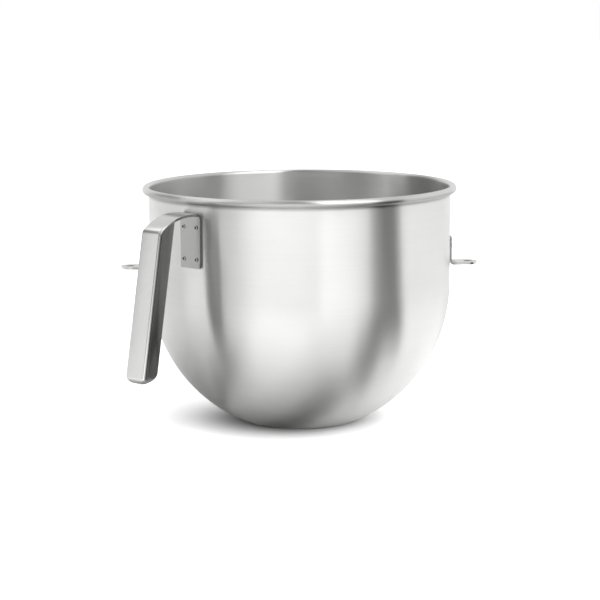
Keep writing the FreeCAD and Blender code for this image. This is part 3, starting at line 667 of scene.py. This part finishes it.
def soft_cards():
    """A group that gives the studio's brightness in a direction from the bowl.

    The same cards are read off the world by the ray's direction, and off the floor by the
    place that the ray meets, so that they seem to stand on the floor round the bowl.
    """
    group = bpy.data.node_groups.new("soft_cards", "ShaderNodeTree")
    for name, kind in (("Direction", "NodeSocketVector"), ("Front", "NodeSocketFloat"),
                       ("Surround", "NodeSocketFloat")):
        group.interface.new_socket(name, in_out="INPUT", socket_type=kind)
    group.interface.new_socket("Brightness", in_out="OUTPUT", socket_type="NodeSocketFloat")
    tree = Tree(group)
    given = tree.add("NodeGroupInput").outputs
    parts, level = tree.split(given["Direction"])
    height = tree.math("ARCTAN2", parts["Z"], level)
    turn = tree.math("ARCTAN2", parts["X"], tree.math("MULTIPLY", parts["Y"], -1.0))
    turn = tree.math("ADD", turn, given["Front"])
    brightness = given["Surround"]
    for around, half_width, up, half_height, soft, value in CARDS:
        aside = tree.math("SUBTRACT", turn, math.radians(around))
        aside = tree.math("ABSOLUTE", tree.math("WRAP", aside, -math.pi, math.pi))
        above = tree.math("ABSOLUTE", tree.math("SUBTRACT", height, math.radians(up)))
        cover = 1.0
        for distance, half in ((aside, half_width), (above, half_height)):
            span = (math.radians(half - soft), math.radians(half + soft))
            edge = tree.ramp(distance, span, 1.0, 0.0, soft=True)
            cover = tree.math("MULTIPLY", edge, cover)
        change = tree.math("SUBTRACT", value, brightness)
        brightness = tree.math("MULTIPLY_ADD", change, cover, brightness)
    tree.add("NodeGroupOutput", {"Brightness": brightness})
    return group


def studio_world(stage, cards):
    """White to the camera, and soft boxes between dark cards in reflections."""
    world = bpy.data.worlds.new("studio")
    world.use_nodes = True
    world.cycles_visibility.diffuse = False
    tree = Tree(world.node_tree)
    seen = tree.add("ShaderNodeGroup", node_tree=cards)
    tree.feed(seen.inputs["Direction"],
              tree.add("ShaderNodeTexCoord").outputs["Generated"])
    tree.feed(seen.inputs["Front"], stage.azimuth)
    tree.feed(seen.inputs["Surround"], stage.surround)
    camera = tree.add("ShaderNodeLightPath").outputs["Is Camera Ray"]
    strength = tree.math("MAXIMUM", seen.outputs[0], camera)
    background = world.node_tree.nodes["Background"]
    tree.feed(background.inputs["Strength"], strength)
    background.inputs["Color"].default_value = (1, 1, 1, 1)
    bpy.context.scene.world = world


def floor_material(stage, cards):
    """A pale floor that shows white to the camera, less the bowl's shadow."""
    material = bpy.data.materials.new("studio_floor")
    material.use_nodes = True
    material.cycles.emission_sampling = "NONE"
    shader = material.node_tree.nodes["Principled BSDF"]
    shader.inputs["Roughness"].default_value = 1.0
    shader.inputs["Specular IOR Level"].default_value = 0.0
    shader.inputs["Emission Color"].default_value = (1, 1, 1, 1)
    tree = Tree(material.node_tree)
    rays = tree.add("ShaderNodeLightPath").outputs
    seen = tree.add("ShaderNodeGroup", node_tree=cards)
    place = tree.add("ShaderNodeTexCoord").outputs["Object"]
    tree.feed(seen.inputs["Direction"], tree.vector("SUBTRACT", place, CARD_FOOT))
    tree.feed(seen.inputs["Front"], stage.azimuth)
    tree.feed(seen.inputs["Surround"], stage.floor_surround)

    def shade(middle, near, far, least):
        distance = tree.vector("DISTANCE", place, middle)
        return tree.ramp(distance, (near, far), least, soft=True)

    # Painted light and shade: in reflections the floor's colour is the cards' brightness,
    # dimmed round the bowl
    mirrored = tree.math("MULTIPLY", seen.outputs[0], shade(*MIRRORED_SHADE))
    colour = tree.add("ShaderNodeMix", {
        "Factor": rays["Is Glossy Ray"], "A": stage.floor_colour, "B": mirrored},
        data_type="RGBA")
    tree.feed(shader.inputs["Base Color"], colour.outputs["Result"])
    lift = tree.math("MULTIPLY", shade(*CONTACT_SHADE), stage.floor_lift)
    tree.feed(shader.inputs["Emission Strength"],
              tree.math("MULTIPLY", rays["Is Camera Ray"], lift))
    return material


def towards(around, up):
    """The direction from the bowl that is turned round from the front, and raised."""
    return Vector((math.sin(around) * math.cos(up), -math.cos(around) * math.cos(up),
                   math.sin(up)))


def soft_lamp(name, around, up, angle, strength):
    """A wide lamp that lights the floor from a direction off the camera's."""
    lamp = bpy.data.lights.new(name, "SUN")
    lamp.angle = math.radians(angle)
    lamp.energy = strength
    holder = bpy.data.objects.new(name, lamp)
    holder.visible_glossy = False
    bpy.context.scene.collection.objects.link(holder)
    way = towards(math.radians(around) - settings()[2].azimuth, math.radians(up))
    holder.matrix_world = (Matrix.Translation(way * LAMP_DISTANCE)
                           @ way.to_track_quat("Z", "Y").to_matrix().to_4x4())
    return holder


class BOWL_OT_stage(bpy.types.Operator):
    """Set up the camera, the pale floor and the studio"""

    bl_idname = "bowl.stage"
    bl_label = "Set up the studio"

    def execute(self, context):
        stage = settings()[2]
        cards = soft_cards()
        studio_world(stage, cards)
        for lamp in LAMPS:
            soft_lamp(*lamp)
        scene = context.scene
        scene.view_settings.view_transform = "Standard"

        mesh = bpy.data.meshes.new("studio_floor")
        corners = ((-1, -1), (1, -1), (1, 1), (-1, 1))
        mesh.from_pydata([(x * FLOOR_REACH, y * FLOOR_REACH, 0) for x, y in corners], [],
                         [(0, 1, 2, 3)])
        floor = bpy.data.objects.new("studio_floor", mesh)
        mesh.materials.append(floor_material(stage, cards))
        scene.collection.objects.link(floor)

        camera = bpy.data.objects.new("camera", bpy.data.cameras.new("camera"))
        scene.collection.objects.link(camera)
        camera.data.lens = stage.lens
        camera.data.sensor_width = 36.0
        camera.data.clip_end = 50.0
        back = towards(-stage.azimuth, stage.elevation)
        place = Vector((0, 0, stage.aim_height)) + back * stage.distance
        camera.matrix_world = (Matrix.Translation(place)
                               @ (-back).to_track_quat("-Z", "Y").to_matrix().to_4x4()
                               @ Matrix.Rotation(-stage.roll, 4, "Z"))
        scene.camera = camera
        return {"FINISHED"}


class BOWL_PT_panel(bpy.types.Panel):
    """Lists the steps that build the bowl"""

    bl_idname = "BOWL_PT_panel"
    bl_label = "Stand Mixer Bowl"
    bl_space_type = "VIEW_3D"
    bl_region_type = "UI"
    bl_category = "Bowl"

    def draw(self, context):
        for step in STEPS:
            self.layout.operator(step.bl_idname)


SETTINGS = {"bowl_shell": ShellSettings, "bowl_steel": SteelSettings,
            "bowl_stage": StageSettings}
STEPS = (BOWL_OT_stage, BOWL_OT_shell, BOWL_OT_handle, BOWL_OT_brackets)


def register():
    for name, group in SETTINGS.items():
        bpy.utils.register_class(group)
        setattr(bpy.types.Scene, name, PointerProperty(type=group))
    for item in (*STEPS, BOWL_PT_panel):
        bpy.utils.register_class(item)


def unregister():
    for item in (BOWL_PT_panel, *reversed(STEPS)):
        bpy.utils.unregister_class(item)
    for name, group in SETTINGS.items():
        delattr(bpy.types.Scene, name)
        bpy.utils.unregister_class(group)


def main():
    register()
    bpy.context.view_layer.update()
    for step in STEPS:
        operation = getattr(bpy.ops.bowl, step.bl_idname.split(".")[1])
        operation()


if __name__ == "__main__":
    main()
